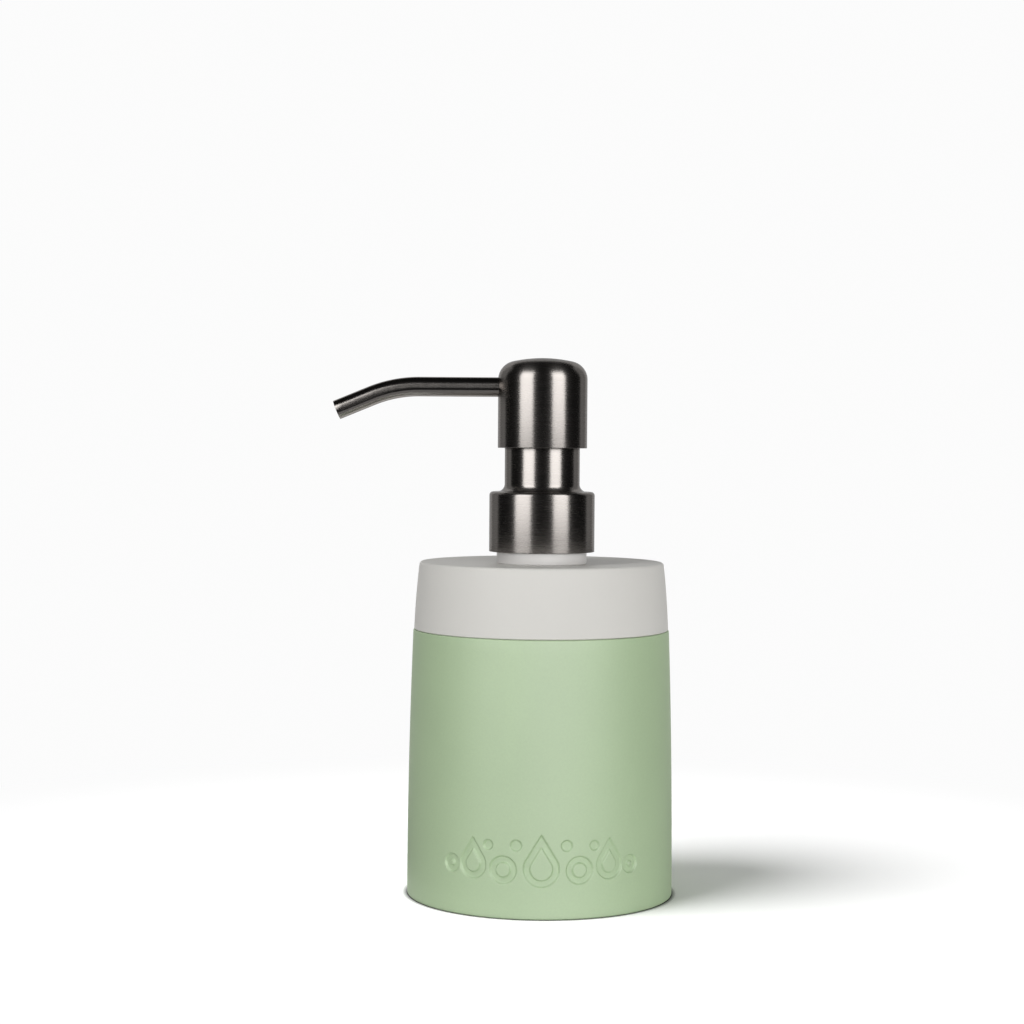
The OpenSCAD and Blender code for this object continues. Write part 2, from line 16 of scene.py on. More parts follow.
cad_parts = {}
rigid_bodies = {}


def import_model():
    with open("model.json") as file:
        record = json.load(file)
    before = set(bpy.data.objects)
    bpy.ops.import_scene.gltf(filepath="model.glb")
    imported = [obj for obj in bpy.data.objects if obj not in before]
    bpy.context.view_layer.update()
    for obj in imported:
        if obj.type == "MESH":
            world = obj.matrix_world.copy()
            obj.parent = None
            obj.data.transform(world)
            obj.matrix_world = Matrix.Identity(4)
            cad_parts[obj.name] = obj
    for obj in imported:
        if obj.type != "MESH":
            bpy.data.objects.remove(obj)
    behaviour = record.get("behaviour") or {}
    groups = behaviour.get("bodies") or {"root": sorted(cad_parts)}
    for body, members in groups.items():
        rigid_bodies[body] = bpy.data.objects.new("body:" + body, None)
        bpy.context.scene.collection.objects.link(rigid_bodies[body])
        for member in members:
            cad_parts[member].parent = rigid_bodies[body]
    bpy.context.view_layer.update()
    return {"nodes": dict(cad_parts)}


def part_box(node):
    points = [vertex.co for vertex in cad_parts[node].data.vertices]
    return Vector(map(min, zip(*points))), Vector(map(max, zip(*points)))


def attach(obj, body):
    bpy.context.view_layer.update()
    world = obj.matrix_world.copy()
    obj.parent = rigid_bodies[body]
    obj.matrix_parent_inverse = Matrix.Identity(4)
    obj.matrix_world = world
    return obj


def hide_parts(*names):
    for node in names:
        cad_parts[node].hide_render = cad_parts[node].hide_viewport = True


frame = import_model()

MM = 0.001
nodes = frame["nodes"]
print("solids in the frame:", len(nodes))

# %% [markdown]
# ## The camera
# The photograph looks almost level at the pump, from about an arm's length, so the foot shows as
# a shallow curve and the head hardly any. A long lens from the same distance repeats that. The
# object stands a little right of the picture's middle, which a camera moved sideways gives
# without turning it, and it leans by less than half a degree, which a small roll gives.

# %% Camera
PICTURE_PX = 1024
SENSOR_MM = 36
camera_distance = 0.680
camera_height = 0.1441
camera_left = 0.00966
camera_roll = math.radians(0.395)
focal_px = 2108
horizon_px = 446.4

camera_data = bpy.data.cameras.new("camera")
camera_data.sensor_width = SENSOR_MM
camera_data.lens = focal_px / PICTURE_PX * SENSOR_MM
camera = bpy.data.objects.new("camera", camera_data)
bpy.context.scene.collection.objects.link(camera)
tilt_down = math.atan((PICTURE_PX / 2 - horizon_px) / focal_px)
camera.matrix_world = (Matrix.Translation((-camera_left, -camera_distance, camera_height))
                       @ Matrix.Rotation(math.pi / 2 - tilt_down, 4, "X")
                       @ Matrix.Rotation(camera_roll, 4, "Z"))
bpy.context.scene.camera = camera
print("lens", round(camera_data.lens, 1), "mm, tilt", round(math.degrees(tilt_down), 2), "degrees")

# %% [markdown]
# ## Shared effects
# Three finishes of this object are made of very fine relief. Brushing runs round the steel in
# hair lines, the silicone has a faint grain from its mould, and the glaze and the plastics have
# a soft unevenness. Each is a node group, built once, with named inputs. A group only gives out
# colours, masks and normals that change over the surface, so the shader itself stays in each
# material.


# %% Helpers for node groups
def new_group(name, inputs, outputs):
    """An empty shader group with its sockets: (name, socket type, default)."""
    group = bpy.data.node_groups.new(name, "ShaderNodeTree")
    for label, kind, default in inputs:
        socket = group.interface.new_socket(label, in_out="INPUT", socket_type=kind)
        if default is not None:
            socket.default_value = default
    for label, kind in outputs:
        group.interface.new_socket(label, in_out="OUTPUT", socket_type=kind)
    return group, group.nodes.new("NodeGroupInput"), group.nodes.new("NodeGroupOutput")


def math_node(tree, operation, first, second=None):
    """A Math node with its inputs linked or set, and its output socket."""
    node = tree.nodes.new("ShaderNodeMath")
    node.operation = operation
    for slot, value in enumerate((first, second)):
        if value is None:
            continue
        if isinstance(value, (int, float)):
            node.inputs[slot].default_value = value
        else:
            tree.links.new(value, node.inputs[slot])
    return node.outputs[0]


def noise_node(tree, vector, scale, detail=2.0, roughness=0.5):
    """A Noise Texture and its value, from 0 to 1."""
    node = tree.nodes.new("ShaderNodeTexNoise")
    node.inputs["Detail"].default_value = detail
    node.inputs["Roughness"].default_value = roughness
    tree.links.new(scale, node.inputs["Scale"])
    tree.links.new(vector, node.inputs["Vector"])
    return node.outputs["Fac"]


def shaded_colour(tree, colour, shade):
    """A colour multiplied by a shade that varies around 1."""
    node = tree.nodes.new("ShaderNodeMix")
    node.data_type = "RGBA"
    node.blend_type = "MULTIPLY"
    node.inputs[0].default_value = 1.0
    tree.links.new(colour, node.inputs[6])
    tree.links.new(shade, node.inputs[7])
    return node.outputs[2]


def bump_node(tree, height, distance):
    """A Bump node at full strength and its normal."""
    node = tree.nodes.new("ShaderNodeBump")
    node.inputs["Strength"].default_value = 1.0
    tree.links.new(distance, node.inputs["Distance"])
    tree.links.new(height, node.inputs["Height"])
    return node.outputs["Normal"]


# %% Direction of the brushing
LINE_STRETCH = 0.0006


def build_round_axis():
    """Coordinates for lines that run round Z: slow round the axis, in metres across the lines."""
    group, _, out = new_group("round_axis", [], [("Lines", "NodeSocketVector")])
    place = group.nodes.new("ShaderNodeTexCoord").outputs["Object"]
    split = group.nodes.new("ShaderNodeSeparateXYZ")
    group.links.new(place, split.inputs[0])
    x, y, z = split.outputs
    radius = math_node(group, "SQRT", math_node(
        group, "ADD", math_node(group, "MULTIPLY", x, x), math_node(group, "MULTIPLY", y, y)))
    joined = group.nodes.new("ShaderNodeCombineXYZ")
    turn = math_node(group, "MULTIPLY", math_node(group, "ARCTAN2", y, x), LINE_STRETCH)
    for slot, value in enumerate((turn, radius, z)):
        group.links.new(value, joined.inputs[slot])
    group.links.new(joined.outputs[0], out.inputs["Lines"])
    return group


round_axis = build_round_axis()
print("group", round_axis.name)


# %% Brushing
COARSE_LINES = 0.21     # coarse lines for each fine one
FINE_SHARE = 0.6
COARSE_SHARE = 0.4
BRUSH_GLOSS_SWING = 0.06


def build_brushing():
    """Hair lines across the given coordinates, as tone, roughness and relief."""
    group, given, out = new_group(
        "brushing",
        [("Lines", "NodeSocketVector", None), ("Lines per metre", "NodeSocketFloat", 2600.0),
         ("Depth", "NodeSocketFloat", 0.000001), ("Colour", "NodeSocketColor", (0.6, 0.6, 0.6, 1)),
         ("Tone", "NodeSocketFloat", 0.2), ("Roughness", "NodeSocketFloat", 0.3)],
        [("Colour", "NodeSocketColor"), ("Roughness", "NodeSocketFloat"), ("Normal", "NodeSocketVector")])
    lines = given.outputs["Lines"]
    per_metre = given.outputs["Lines per metre"]
    fine = noise_node(group, lines, per_metre, detail=3.0, roughness=0.6)
    coarse = noise_node(group, lines, math_node(group, "MULTIPLY", per_metre, COARSE_LINES),
                        detail=1.0)
    height = math_node(group, "ADD", math_node(group, "MULTIPLY", fine, FINE_SHARE),
                       math_node(group, "MULTIPLY", coarse, COARSE_SHARE))
    centred = math_node(group, "SUBTRACT", height, 0.5)
    shade = math_node(group, "MULTIPLY_ADD", centred, given.outputs["Tone"])
    shade.node.inputs[2].default_value = 1.0
    group.links.new(shaded_colour(group, given.outputs["Colour"], shade), out.inputs["Colour"])
    rough = math_node(group, "MULTIPLY", centred, BRUSH_GLOSS_SWING)
    group.links.new(math_node(group, "ADD", rough, given.outputs["Roughness"]), out.inputs["Roughness"])
    group.links.new(bump_node(group, height, given.outputs["Depth"]), out.inputs["Normal"])
    return group


brushing = build_brushing()
print("group", brushing.name)


# %% Grain of moulded and glazed surfaces
GRAIN_GLOSS_SWING = 0.12


def build_grain():
    """Fine pits plus a slow drift of tone, with their sizes set by the inputs."""
    group, given, out = new_group(
        "grain",
        [("Fine scale", "NodeSocketFloat", 2200.0), ("Slow scale", "NodeSocketFloat", 26.0),
         ("Depth", "NodeSocketFloat", 0.00002), ("Colour", "NodeSocketColor", (0.5, 0.5, 0.5, 1)),
         ("Tone", "NodeSocketFloat", 0.04), ("Roughness", "NodeSocketFloat", 0.5)],
        [("Colour", "NodeSocketColor"), ("Roughness", "NodeSocketFloat"), ("Normal", "NodeSocketVector")])
    place = group.nodes.new("ShaderNodeTexCoord").outputs["Object"]
    fine = noise_node(group, place, given.outputs["Fine scale"], detail=3.0, roughness=0.62)
    slow = noise_node(group, place, given.outputs["Slow scale"], detail=2.0)
    both = math_node(group, "MULTIPLY_ADD", fine, 0.5)
    group.links.new(math_node(group, "MULTIPLY", slow, 0.5), both.node.inputs[2])
    drift = math_node(group, "SUBTRACT", both, 0.5)
    shade = math_node(group, "MULTIPLY_ADD", drift, given.outputs["Tone"])
    shade.node.inputs[2].default_value = 1.0
    group.links.new(shaded_colour(group, given.outputs["Colour"], shade), out.inputs["Colour"])
    rough = math_node(group, "MULTIPLY_ADD", fine, GRAIN_GLOSS_SWING)
    rough.node.inputs[2].default_value = -GRAIN_GLOSS_SWING / 2
    group.links.new(math_node(group, "ADD", rough, given.outputs["Roughness"]), out.inputs["Roughness"])
    group.links.new(bump_node(group, fine, given.outputs["Depth"]), out.inputs["Normal"])
    return group


grain = build_grain()
print("group", grain.name)


# %% [markdown]
# ## Materials
# Each material is one Principled shader fed by one of the groups. The steel is fully metallic
# and anisotropic: brush lines that run round a cylinder smear its reflections up and down, which
# is why a brushed pump shows upright bands of light and dark. The silicone is matte with a soft
# sheen, and the stoneware has a matte glaze.


# %% Material helper
def new_material(name, group, values, fixed):
    """A Principled material fed by a group: values go to the group, fixed to the shader's sockets."""
    material = bpy.data.materials.new(name)
    material.use_nodes = True
    tree = material.node_tree
    shader = tree.nodes["Principled BSDF"]
    node = tree.nodes.new("ShaderNodeGroup")
    node.node_tree = group
    for label, value in values.items():
        node.inputs[label].default_value = value
    tree.links.new(node.outputs["Colour"], shader.inputs["Base Color"])
    tree.links.new(node.outputs["Roughness"], shader.inputs["Roughness"])
    tree.links.new(node.outputs["Normal"], shader.inputs["Normal"])
    for label, value in fixed.items():
        shader.inputs[label].default_value = value
    return material


# %% Steel
def steel_finish(name, colour, roughness, anisotropy, lines=3400.0, depth=0.0000003, tone=0.28):
    """Steel brushed round Z: its reflections are drawn out up and down."""
    material = new_material(
        name, brushing,
        {"Colour": (*colour, 1), "Roughness": roughness, "Lines per metre": lines, "Depth": depth,
         "Tone": tone},
        {"Metallic": 1.0, "Anisotropic": anisotropy, "Anisotropic Rotation": 0.25,
         "Specular Tint": (0.45, 0.45, 0.45, 1)})
    tree = material.node_tree
    direction = tree.nodes.new("ShaderNodeGroup")
    direction.node_tree = round_axis
    brush = next(node for node in tree.nodes if node.type == "GROUP" and node.node_tree == brushing)
    tree.links.new(direction.outputs["Lines"], brush.inputs["Lines"])
    tangent = tree.nodes.new("ShaderNodeTangent")
    tangent.direction_type = "RADIAL"
    tangent.axis = "Z"
    tree.links.new(tangent.outputs[0], tree.nodes["Principled BSDF"].inputs["Tangent"])
    return material


def along_the_map(material, uv_map):
    """Turns a steel finish from the Z axis to a UV map, whose U runs along the brush lines."""
    tree = material.node_tree
    brush = next(node for node in tree.nodes if node.type == "GROUP" and node.node_tree == brushing)
    place = tree.nodes.new("ShaderNodeUVMap")
    place.uv_map = uv_map
    tree.links.new(place.outputs[0], brush.inputs["Lines"])
    tangent = next(node for node in tree.nodes if node.type == "TANGENT")
    tangent.direction_type = "UV_MAP"
    tangent.uv_map = uv_map
    return material


STEEL = (0.312, 0.292, 0.276)
shell_steel = steel_finish("shell_steel", STEEL, 0.27, 0.75)
spout_steel = along_the_map(steel_finish("spout_steel", STEEL, 0.23, 0.8), "round_the_tube")
ball_steel = steel_finish("ball_steel", (0.60, 0.60, 0.60), 0.12, 0.0, 900.0, 0.000001, 0.1)
spring_steel = steel_finish("spring_steel", (0.55, 0.55, 0.54), 0.24, 0.0, 2500.0, 0.000002, 0.3)
print("steel materials:", shell_steel.name, spout_steel.name, ball_steel.name, spring_steel.name)


# %% Silicone, stoneware and plastics
def moulded(name, colour, roughness, fine, depth, tone=0.05, slow=26.0, **fixed):
    """A matte moulded or glazed finish."""
    return new_material(
        name, grain,
        {"Colour": (*colour, 1), "Roughness": roughness, "Fine scale": fine, "Slow scale": slow,
         "Depth": depth, "Tone": tone}, fixed)


silicone = moulded("silicone", (0.398, 0.527, 0.317), 0.55, 1500.0, 0.00003, 0.24,
                   **{"Specular IOR Level": 1.0})
stoneware = moulded("stoneware", (0.680, 0.668, 0.634), 0.5, 1400.0, 0.000008, 0.05, 40.0,
                    **{"Specular IOR Level": 0.2})
neck_plastic = moulded("neck_plastic", (0.675, 0.66, 0.645), 0.42, 1800.0, 0.000006, 0.03)
core_plastic = moulded("core_plastic", (0.045, 0.045, 0.048), 0.42, 1500.0, 0.00001, 0.2)
seal_foam = moulded("seal_foam", (0.80, 0.80, 0.78), 0.75, 3200.0, 0.00005, 0.12)
pump_plastic = moulded("pump_plastic", (0.80, 0.80, 0.79), 0.34, 1200.0, 0.000006, 0.03,
                       **{"Subsurface Weight": 0.15, "Subsurface Radius": (0.002, 0.002, 0.002)})
pump_plastic_grey = moulded("pump_plastic_grey", (0.52, 0.53, 0.54), 0.36, 1200.0, 0.000006, 0.04)
piston_plastic = moulded("piston_plastic", (0.78, 0.73, 0.62), 0.44, 1500.0, 0.000008, 0.04)
tube_plastic = moulded("tube_plastic", (0.84, 0.85, 0.85), 0.30, 900.0, 0.000005, 0.03,
                       **{"Transmission Weight": 0.35, "IOR": 1.5})
print("moulded materials made")

# %% [markdown]
# ## Turned pieces
# Nearly everything here was turned on a wheel, moulded round an axis or spun in a press. So one
# helper makes them all: it takes a closed outline, in radius and height, and carries it round Z.
# The outlines use true arcs with close steps, so that the steel's reflections stay smooth. Edges
# sharper than a set angle are kept crisp, and everything else is shaded smooth.


# %% Helpers for turned pieces
SHARP_DEGREES = 32


def arc(centre, radius, start, end, steps=10):
    """Points on an arc in the plane of radius and height, with angles in degrees."""
    angles = np.radians(np.linspace(start, end, steps + 1))
    return [(centre[0] + radius * math.cos(a), centre[1] + radius * math.sin(a)) for a in angles]


def finish_mesh(name, vertices, faces, material, body, sharp_degrees=SHARP_DEGREES):
    """A smooth-shaded object from vertices and faces, with its material, on its body."""
    mesh = bpy.data.meshes.new(name)
    mesh.from_pydata([tuple(v) for v in vertices], [], faces)
    mesh.validate()
    tidy = bmesh.new()
    tidy.from_mesh(mesh)
    bmesh.ops.remove_doubles(tidy, verts=tidy.verts, dist=1e-8)
    bmesh.ops.recalc_face_normals(tidy, faces=tidy.faces)
    tidy.to_mesh(mesh)
    tidy.free()
    for face in mesh.polygons:
        face.use_smooth = True
    mesh.set_sharp_from_angle(angle=math.radians(sharp_degrees))
    mesh.materials.append(material)
    piece = bpy.data.objects.new(name, mesh)
    bpy.context.scene.collection.objects.link(piece)
    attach(piece, body)
    return piece


def turned_grid(outline, angles):
    """Vertices and faces of a closed outline carried round Z through the given angles."""
    outline = np.array(outline)
    count, turns = len(outline), len(angles)
    radius, height = outline[:, 0], outline[:, 1]
    grid = np.stack([np.outer(np.cos(angles), radius), np.outer(np.sin(angles), radius),
                     np.tile(height, (turns, 1))], axis=2)
    faces = [(i * count + j, ((i + 1) % turns) * count + j,
              ((i + 1) % turns) * count + (j + 1) % count, i * count + (j + 1) % count)
             for i in range(turns) for j in range(count)]
    return grid, faces


def turned(name, outline, material, body, turns=192):
    """A turned piece with equal steps round the axis."""
    angles = np.linspace(0, 2 * math.pi, turns, endpoint=False)
    grid, faces = turned_grid(outline, angles)
    return finish_mesh(name, grid.reshape(-1, 3), faces, material, body)


# %% [markdown]
# ## The flank of the body
# Bottle and sleeve share one outer curve: a very long arc below the seam, so long that it looks
# straight, and a tighter one above it, which draws the shoulder in. Both curves are worked out
# here once, from the sizes of the solids, and moved in or out for each piece.

# %% Curve of the flank
_, sleeve_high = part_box("sleeve")
bottle_low, bottle_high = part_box("bottle")
foot_radius = sleeve_high.x
rim_z = bottle_high.z
seam_gap = 0.12 * MM
seam_z = sleeve_high.z + seam_gap
sleeve_proud = 0.25 * MM
sleeve_depth = 1.95 * MM
sleeve_floor = bottle_low.z
flank_radius = 2.300
crown_radius = 0.270
shoulder_edge_radius = 1.0 * MM
shoulder_z = rim_z - 0.6 * MM
flank_centre = foot_radius - sleeve_proud - flank_radius
seam_angle = math.asin(seam_z / flank_radius)
crown_centre = (flank_centre + (flank_radius - crown_radius) * math.cos(seam_angle),
                (flank_radius - crown_radius) * math.sin(seam_angle))
edge_z = rim_z - shoulder_edge_radius
edge_angle = math.asin((edge_z - crown_centre[1]) / (crown_radius - shoulder_edge_radius))
edge_centre = (crown_centre[0] + (crown_radius - shoulder_edge_radius) * math.cos(edge_angle), edge_z)


def flank_r(z):
    """Radius of the long arc at height z."""
    return flank_centre + math.sqrt(flank_radius ** 2 - z ** 2)


def flank(out, low, high, steps=10):
    """Points on the long arc moved out by that much, from one height to another."""
    return [(flank_r(z) + out, z) for z in np.linspace(low, high, steps + 1)]


print("foot radius", round(foot_radius / MM, 2), "mm, seam at", round(seam_z / MM, 2), "mm")

# %% [markdown]
# ## The bottle
# Stoneware is thrown or pressed, then glazed. The glaze rounds every edge a little, so the
# shoulder's edge and the mouth get small arcs, and the shoulder dips softly towards the neck.
# The inside is modelled too, because the mouth is open when the pump is unscrewed.

# %% Bottle
def build_bottle():
    """The bottle as one closed turned outline, from the foot up the outside and back down inside."""
    seat = -sleeve_depth - 0.1 * MM
    wall = seat - 4.5 * MM
    inner_corner = 7 * MM
    foot_corner = 2.5 * MM
    inner_low = sleeve_floor + 5 * MM
    inner_high = shoulder_z - 6 * MM
    mouth = 13.1 * MM
    recess = 1 * MM
    foot_x = flank_r(sleeve_floor) + seat
    foot_ring = foot_x - 9 * MM
    land = 15.5 * MM        # flat round the mouth, under the neck ring
    seam_step = 0.25 * MM
    lip = 0.4 * MM
    low_x = flank_r(inner_low) + wall
    high_x = flank_r(inner_high) + wall
    outline = [(0, sleeve_floor + recess), (foot_ring - recess, sleeve_floor + recess),
               (foot_ring, sleeve_floor)]
    outline += arc((foot_x - foot_corner, sleeve_floor + foot_corner), foot_corner, -90, 0)
    outline += flank(seat, sleeve_floor + foot_corner + 1 * MM, seam_z - 0.4 * MM)
    outline += [(flank_r(seam_z) - seam_step, seam_z)]
    outline += arc(crown_centre, crown_radius, math.degrees(seam_angle) + 0.05,
                   math.degrees(edge_angle), 16)
    outline += arc(edge_centre, shoulder_edge_radius, math.degrees(edge_angle), 90, 12)
    outline += [(land + t * (edge_centre[0] - land),
                 shoulder_z + (rim_z - shoulder_z) * (t * t * (3 - 2 * t)))
                for t in np.linspace(0.97, 0, 16)]
    outline += arc((mouth + lip, shoulder_z - lip), lip, 90, 180, 4)
    outline += [(mouth, inner_high)]
    outline += arc((high_x - inner_corner, inner_high - inner_corner), inner_corner, 90, 0)
    outline += flank(wall, inner_low + inner_corner, inner_high - inner_corner)[::-1]
    outline += arc((low_x - inner_corner, inner_low + inner_corner), inner_corner, 0, -90)
    outline += [(0, inner_low)]
    return turned("stoneware_bottle", outline, stoneware, "bottle", 256)


bottle = build_bottle()
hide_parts("bottle")
print("bottle faces:", len(bottle.data.polygons))

# %% [markdown]
# ## The sleeve and its sunk pattern
# The sleeve is a moulded boot of silicone. Its pattern of drops and bubbles was a raised part of
# the mould, so each line is a trough with softly rounded edges. A boolean cut would leave knife
# edges. Instead the outer wall gets a fine grid where the pattern is, and each grid point is
# pushed in by how far it lies inside a line: the signed distance to the mark's outline.

# %% Marks of the pattern
motif_z = 18 * MM
motif_line = 2.0 * MM
motif_depth = 0.7 * MM
motif_soft = 0.22 * MM
# each mark: degrees from the front, mm up, diameter, height of its point (0 for a bubble)
side_marks = [(10.5, 4.6, 3.4, 0), (16, -3, 8.5, 0), (22.5, 4.4, 3, 0), (29.5, -1.8, 9, 8.2),
              (40, -2.4, 5.6, 0)]
marks = [(0, -2.5, 11, 10.5)] + [(side * a, up, d, tip) for a, up, d, tip in side_marks
                                for side in (-1, 1)]
print("marks in the pattern:", len(marks))


def distance_to_drop(across, up, radius, tip):
    """Signed distance to a round with a point above it, negative inside."""
    across = np.abs(across)
    distance = np.hypot(across, up) - radius
    if tip > radius:
        touch = math.acos(radius / tip)
        flat = across * math.sin(touch) + up * math.cos(touch) - radius
        distance = np.where(np.arctan2(across, up) < touch, flat, distance)
    return distance


def motif_mask(angle, z):
    """How far the pattern is sunk there, from 0 to 1. Angle is counted from the front."""
    mask = np.zeros_like(z)
    for at, up, diameter, tip in marks:
        radius = diameter / 2 * MM
        turn = angle - math.radians(at)
        across = np.where(np.abs(turn) < 0.5, foot_radius * np.sin(turn), 1.0)
        distance = distance_to_drop(across, z - motif_z - up * MM, radius, tip * MM)
        if radius - motif_line > 0.5 * MM:
            distance = np.abs(distance + motif_line / 2) - motif_line / 2
        share = np.clip(0.5 - distance / (2 * motif_soft), 0, 1)
        mask = np.maximum(mask, share * share * (3 - 2 * share))
    return mask


# %% Sleeve
def build_sleeve():
    """The boot: a fine grid on the patterned front, a coarse one elsewhere."""
    lip = 0.4 * MM
    top = sleeve_high.z
    foot_edge = 0.4 * MM
    corner = 2.5 * MM
    inner_x = flank_r(sleeve_floor) - sleeve_depth
    band_low, band_high = motif_z - 9.5 * MM, motif_z + 9.5 * MM
    groove_pitch = 6 * MM
    groove_width = 1.6 * MM
    groove_depth = 0.8 * MM
    groove_slope = 0.25 * MM
    outline = [(0, 0)]
    for i in (4, 3, 2, 1):
        outer = foot_radius - i * groove_pitch
        inner = outer - groove_width
        outline += [(inner, 0), (inner + groove_slope, groove_depth),
                    (outer - groove_slope, groove_depth), (outer, 0)]
    outline += arc((foot_radius - foot_edge, foot_edge), foot_edge, -90, 0, 8)
    outline += flank(sleeve_proud, foot_edge + 0.5 * MM, band_low - 0.3 * MM, 8)
    outline += flank(sleeve_proud, band_low, band_high, 96)
    outline += flank(sleeve_proud, band_high + 0.3 * MM, top - lip - 0.1 * MM, 16)
    outline += arc((flank_r(top) + sleeve_proud - lip, top - lip), lip, 0, 90, 6)
    outline += flank(-sleeve_depth, sleeve_floor + corner + 1 * MM, top, 10)[::-1]
    outline += arc((inner_x - corner, sleeve_floor + corner), corner, 0, -90, 8)
    outline += [(0, sleeve_floor)]
    front = -math.pi / 2
    reach = math.radians(47)
    fine = np.linspace(-reach, reach, 330)
    coarse = np.linspace(reach, 2 * math.pi - reach, 92)[1:-1]
    angles = np.concatenate([fine, coarse])
    grid, faces = turned_grid(outline, angles + front)
    heights = np.array([z for _, z in outline])
    radii = np.array([r for r, _ in outline])
    outside = (radii > foot_radius - 1 * MM) & (heights >= band_low) & (heights <= band_high)
    turn, height = np.meshgrid(angles, heights, indexing="ij")
    sunk = motif_mask(turn, height) * outside[None, :] * motif_depth
    grid[..., 0] -= sunk * np.cos(turn + front)
    grid[..., 1] -= sunk * np.sin(turn + front)
    return finish_mesh("silicone_sleeve", grid.reshape(-1, 3), faces, silicone, "bottle", 50)


sleeve = build_sleeve()
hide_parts("sleeve")
print("sleeve faces:", len(sleeve.data.polygons))

# %% [markdown]
# ## The steel collar
# The collar, its flare and the guide neck are one drawn shell. Its outline is followed twice,
# once outside and once inside, with the sheet's thickness between. The bottom edge is turned
# under very slightly, as a trimmed edge is after polishing.

# %% Collar
collar_low, collar_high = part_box("collar_shell")
steel = 0.75 * MM
collar_radius = collar_high.x
collar_top = collar_low.z + 19.3 * MM
neck_radius = 12.1 * MM


def build_collar():
    """Collar, flare and guide neck as one closed outline."""
    edge = 1.2 * MM
    flare = 2.4 * MM
    trim = 0.18 * MM
    corner = (collar_radius - edge, collar_top - edge)
    turn_up = (neck_radius + flare, collar_top + flare)
    outline = [(collar_radius - steel, collar_low.z)]
    outline += arc((collar_radius - trim, collar_low.z + trim), trim, -90, 0, 4)
    outline += arc(corner, edge, 0, 90, 12)
    outline += arc(turn_up, flare, 270, 180, 16)
    outline += arc((neck_radius - trim, collar_high.z - trim), trim, 0, 90, 4)
    outline += [(neck_radius - steel, collar_high.z)]
    outline += arc(turn_up, flare + steel, 180, 270, 12)
    outline += arc(corner, edge - steel, 90, 0, 6)
    return turned("steel_collar", outline, shell_steel, "closure")


collar = build_collar()
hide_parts("collar_shell")
print("collar", round(collar_radius * 2 / MM, 1), "mm across")

# %% [markdown]
# ## The head
# The dome was drawn from one sheet: a straight wall, a round corner and a nearly flat crown. The
# spout leaves it through a drilled hole, so the turned dome gets that hole by a boolean cut with
# a round bar. The bar is deleted at once, and only the pierced mesh stays.

# %% Head
head_low, head_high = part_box("head_shell")
spout_low, spout_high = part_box("spout")
spout_radius = spout_high.y
spout_z = spout_high.z - spout_radius


def build_head():
    """The dome with the hole for the spout."""
    corner_radius = 6 * MM
    crown = 45 * MM
    trim = 0.2 * MM
    radius = head_high.x
    centre_x = radius - corner_radius
    crown_z = head_high.z - crown
    centre_z = crown_z + math.sqrt((crown - corner_radius) ** 2 - centre_x ** 2)
    lean = math.degrees(math.atan2(centre_z - crown_z, centre_x))
    outline = [(radius - steel, head_low.z)]
    outline += arc((radius - trim, head_low.z + trim), trim, -90, 0, 4)
    outline += arc((centre_x, centre_z), corner_radius, 0, lean, 24)
    outline += arc((0, crown_z), crown, lean, 90, 16)[1:]
    outline += arc((0, crown_z), crown - steel, 90, lean, 10)
    outline += arc((centre_x, centre_z), corner_radius - steel, lean, 0, 12)[1:]
    dome = turned("steel_head", outline, shell_steel, "plunger")
    bar_mesh = bpy.data.meshes.new("bar")
    bar = bpy.data.objects.new("bar", bar_mesh)
    shape = bmesh.new()
    bmesh.ops.create_cone(
        shape, cap_ends=True, segments=64, radius1=spout_radius + 0.06 * MM,
        radius2=spout_radius + 0.06 * MM, depth=20 * MM,
        matrix=Matrix.Translation((-radius, 0, spout_z)) @ Matrix.Rotation(math.pi / 2, 4, "Y"))
    shape.to_mesh(bar_mesh)
    shape.free()
    bpy.context.scene.collection.objects.link(bar)
    cut = dome.modifiers.new("hole", "BOOLEAN")
    cut.operation = "DIFFERENCE"
    cut.solver = "EXACT"
    cut.object = bar
    bpy.context.view_layer.update()
    pierced = bpy.data.meshes.new_from_object(dome.evaluated_get(bpy.context.evaluated_depsgraph_get()))
    dome.modifiers.clear()
    dome.data = pierced
    pierced.set_sharp_from_angle(angle=math.radians(SHARP_DEGREES))
    bpy.data.objects.remove(bar)
    return dome


head = build_head()
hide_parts("head_shell")
print("head faces:", len(head.data.polygons))

# %% [markdown]
# ## The spout
# A thin steel tube, bent once and cut square. It could be a curve with a round bevel, but a
# swept mesh keeps the wall's thickness and lets the cut end have its small burnished edge.

# %% Route of the spout
spout_root = 4.5 * MM
spout_reach = 39.7 * MM
bend_radius = 40.5 * MM
bend_angle = math.radians(22.5)
tip_length = 12.1 * MM
print("spout bends by", round(math.degrees(bend_angle), 1), "degrees")


def spout_route(tip):
    """(point, direction) pairs along the spout's middle line."""
    centre = Vector((-spout_reach, 0, spout_z - bend_radius))
    route = [(Vector((-x, 0, spout_z)), Vector((-1, 0, 0)))
             for x in np.linspace(spout_root, spout_reach, 14)[:-1]]
    for a in np.linspace(0, bend_angle, 25):
        route.append((centre + bend_radius * Vector((-math.sin(a), 0, math.cos(a))),
                      Vector((-math.cos(a), 0, -math.sin(a)))))
    end, ahead = route[-1]
    route += [(end + ahead * s, ahead) for s in np.linspace(0, tip, 6)[1:]]
    return route


